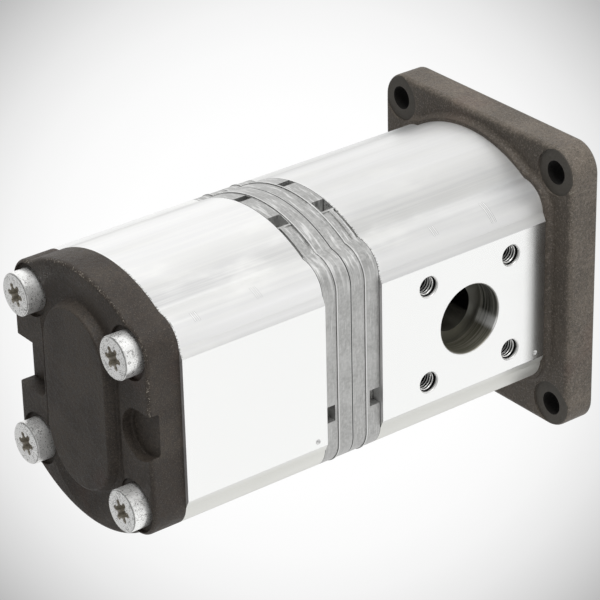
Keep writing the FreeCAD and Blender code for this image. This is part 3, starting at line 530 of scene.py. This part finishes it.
def port_threads(name, port_x, side):
    """Thread ridges of the four screw holes round one port, on the side that has the sign of side.

    A closed profile of four points, wall, crest, crest, wall, is carried along a helix. At angle a it
    lies at r cos a and r sin a from the hole's axis and a / (2 pi) pitches deeper than at the start.
    The radius r is the hole's at the wall, with a hair more to seat in the metal, and the core's at
    the crest, and over half a turn at each end the crest runs out into the wall.
    """
    turns = thread_depth / thread_pitch
    angle = np.linspace(0, 2 * math.pi * turns, round(steps_per_turn * turns) + 1)
    fade = np.clip(np.minimum(angle, angle[-1] - angle) / math.pi, 0, 1)
    crest = np.array([0, 1, 1, 0]).reshape(1, 4, 1)
    pitches_down = np.array([0, 0.40, 0.52, 0.92]).reshape(1, 4, 1)
    wall_r = port_screw_r + thread_seat
    r = wall_r - (wall_r - thread_core_r) * crest * fade
    down = thread_start + (angle / (2 * math.pi) + pitches_down) * thread_pitch
    hole_x = np.array([-1, -1, 1, 1]).reshape(4, 1, 1) * port_screw_half
    hole_z = np.array([-1, 1, -1, 1]).reshape(4, 1, 1) * port_screw_half
    points = np.empty((4, 4, angle.size, 3))
    points[..., 0] = port_x + hole_x + r * np.cos(angle)
    points[..., 1] = side * (flat_y - down)
    points[..., 2] = mid_z + hole_z - side * r * np.sin(angle)
    here = np.arange(16 * angle.size).reshape(4, 4, angle.size)
    beside = np.roll(here, -1, axis=1)
    strips = np.stack([here[..., :-1], here[..., 1:], beside[..., 1:], beside[..., :-1]], axis=-1)
    caps = np.concatenate([here[:, :, 0], here[:, ::-1, -1]])
    mesh = bpy.data.meshes.new(name)
    mesh.from_pydata(points.reshape(-1, 3), [], np.concatenate([strips.reshape(-1, 4), caps]))
    mesh.polygons.foreach_set("use_smooth", np.ones(len(mesh.polygons), bool))
    mesh.materials.append(extruded_aluminium.material)
    ridges = bpy.data.objects.new(name, mesh)
    bpy.context.scene.collection.objects.link(ridges)
    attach(ridges, "housing")


port_threads("suction_port_threads", suction_x, -1)
port_threads("front_pressure_threads", suction_x, 1)
port_threads("rear_pressure_threads", rear_port_x, 1)


# Gears and coupling sleeve: hardened steel, ground on the teeth and journals and wet with oil.
# The front drive gear and the splined shaft are one piece.
ground_steel = plain("ground_steel", rgb(0.40, 0.395, 0.38), rgb(0.50, 0.495, 0.48),
                     rough=0.26, size=0.0005, metallic=1.0, stretch=(1, 14, 14), height=0.000003)
dress(ground_steel, "front_drive_gear", "front_idler_gear", "rear_drive_gear", "rear_idler_gear",
      "coupler")


# Bearing blocks: machined aluminium with bronze bushes for the journals. A rubber seal with a white
# plastic backup ring lies behind each block.
block_aluminium = plain("block_aluminium", rgb(0.55, 0.55, 0.53), rgb(0.72, 0.72, 0.70),
                        rough=0.34, size=0.0008, metallic=1.0)
bush_bronze = plain("bush_bronze", rgb(0.42, 0.27, 0.13), rgb(0.60, 0.42, 0.24),
                    rough=0.3, size=0.0007, metallic=1.0)
backup_plastic = plain("backup_plastic", rgb(0.62, 0.60, 0.55), rgb(0.76, 0.74, 0.69),
                       rough=0.5, size=0.0012, metallic=0.0)
for place in ("front_outer", "front_inner", "rear_inner", "rear_outer"):
    dress(block_aluminium, place + "_block")
    dress(bush_bronze, place + "_drive_bush", place + "_idler_bush")
    dress(seal_rubber, place + "_block_seal")
    dress(backup_plastic, place + "_backup_ring")


# Intermediate plates: two aluminium die castings back to back, grey and finely scuffed, with a
# rubbed parting line round the middle of each and dark seams where they meet their neighbours.
(seam_x, _, _), (plate_end, _, _) = ends("front_intermediate_plate")
plate_thickness = plate_end - seam_x

die_cast_aluminium = metal = Finish("die_cast_aluminium", {"Metallic": 0.85})
x, y, z = section_frame(metal)
mottle = metal.noise(0.0012, 4, 0.7)
cloud = metal.noise(0.009, 2, 0.5, shift=5.5)
scuff = metal.noise(0.00035, 2, 0.6, (1, 22, 22), 2.5)
color = metal.mix(metal.step(mottle, 0.3, 0.7), rgb(0.36, 0.36, 0.352), rgb(0.50, 0.50, 0.49))
color = metal.mix(metal.step(cloud, 0.4, 0.7, 0.0, 0.35), color, rgb(0.60, 0.60, 0.59))
color = metal.mix(metal.step(scuff, 0.58, 0.72, 0.0, 0.45), color, rgb(0.74, 0.74, 0.73))
color = metal.mix(metal.step(scuff, 0.40, 0.30, 0.0, 0.4), color, rgb(0.22, 0.22, 0.215))
from_seam = metal.apart(x, seam_x)
from_line = metal.apart(from_seam, plate_thickness / 2)
line_flanks = metal.step(from_line, 0.00052, 0.00036, 0.0, 0.5)
line = metal.step(from_line, 0.00030, 0.00016, 0.0, 0.8)
color = metal.mix(line_flanks, color, rgb(0.20, 0.20, 0.195))
color = metal.mix(line, color, rgb(0.80, 0.80, 0.79))
worn = metal.step(metal.noise(0.0012, 3, 0.6, (1, 9, 9), 8.8), 0.50, 0.66, 0.0, 0.65)
color = metal.mix(metal.both(metal.step(z, 0.026, 0.040), worn), color, rgb(0.86, 0.86, 0.85))
from_joint = metal.nearer(from_seam, metal.apart(from_seam, plate_thickness))
burr = metal.step(from_joint, 0.00050, 0.00028, 0.0, 0.5)
seam = metal.step(from_joint, 0.00030, 0.00018, 0.0, 0.95)
color = metal.mix(burr, color, rgb(0.82, 0.82, 0.81))
color = metal.mix(seam, color, rgb(0.02, 0.02, 0.02))
relief = metal.math("MULTIPLY_ADD", scuff, 0.5, mottle)
metal.give(Base_Color=color, Roughness=metal.step(mottle, 0.3, 0.7, 0.36, 0.52),
           Normal=metal.bump(relief, 0.00006, 0.8))
dress(die_cast_aluminium, "front_intermediate_plate", "rear_intermediate_plate")


# End cover: an iron casting of the same kind as the flange, darker with oil, whose near rim is
# rubbed to bare specks that also carry a painted highlight.
pad_proud = 0.0028
cover_face_x = ends("end_cover")[0][0] + pad_proud

cover_iron = iron = Finish("cover_iron", {"Specular IOR Level": 0.35})
cast = iron.use(cast_skin, {"Place": iron.place, "Normal": iron.normal, "Pits": 0.45,
                            "Dark": rgb(0.041, 0.032, 0.025), "Light": rgb(0.064, 0.052, 0.041),
                            "Rim X": cover_face_x + 0.0006, "Low": 0.006, "High": 0.052})
iron.give(Base_Color=cast["Color"], Roughness=cast["Roughness"],
          Normal=iron.bump(cast["Height"], cast_relief))
dress(cover_iron, "end_cover")


# Seams: a flat rubber seal lies in a groove in each of the five, and two blackened dowel pins there
# line up the parts.
dress(seal_rubber, "front_cover_seal", "front_plate_seal", "plate_joint_seal", "rear_plate_seal",
      "end_cover_seal")
dress(dark_steel, "dowel_pins")


# Clamp screws: zinc-plated steel, bright, with fine dark scratches, a dark line round the face and
# grey-brown oil in the six-lobe sockets.
screw_face_x = ends("clamp_screws")[0][0]
screw_half = 0.030
screw_head_r = 0.008
socket_r = 0.0046

zinc_plated_steel = zinc = Finish("zinc_plated_steel", {"Metallic": 0.65})
x, y, z = section_frame(zinc)
from_screw = zinc.radius(zinc.above(zinc.size(y), screw_half), zinc.above(zinc.size(z), screw_half))
fine = zinc.noise(0.0006, 2, 0.6)
from_crack = zinc.apart(zinc.noise(0.0026, 3, 0.65, shift=2.7), 0.5)
scratched = zinc.both(zinc.step(zinc.noise(0.004, 2, 0.5, shift=8.0), 0.42, 0.56),
                      zinc.step(from_crack, 0.020, 0.007, 0.0, 0.85))
color = zinc.mix(zinc.step(fine, 0.3, 0.7), rgb(0.88, 0.88, 0.86), rgb(0.99, 0.99, 0.98))
color = zinc.mix(scratched, color, rgb(0.12, 0.115, 0.11))
color = zinc.mix(zinc.step(fine, 0.27, 0.20, 0.0, 0.5), color, rgb(0.2, 0.195, 0.19))
edge_line = zinc.both(zinc.step(zinc.apart(from_screw, screw_head_r - 0.0003), 0.00022, 0.00008),
                      zinc.step(x, screw_face_x + 0.0008, screw_face_x + 0.0004, 0.0, 0.65))
color = zinc.mix(edge_line, color, rgb(0.10, 0.10, 0.095))
socket = zinc.both(zinc.step(from_screw, socket_r + 0.0001, socket_r - 0.0001),
                   zinc.step(x, screw_face_x + 0.0001, screw_face_x + 0.0003))
color = zinc.mix(socket, color, rgb(0.62, 0.59, 0.53))
zinc.give(Base_Color=color, Roughness=zinc.step(fine, 0.25, 0.75, 0.26, 0.36),
          Normal=zinc.bump(fine, 0.00002, 0.5))
dress(zinc_plated_steel, "clamp_screws")
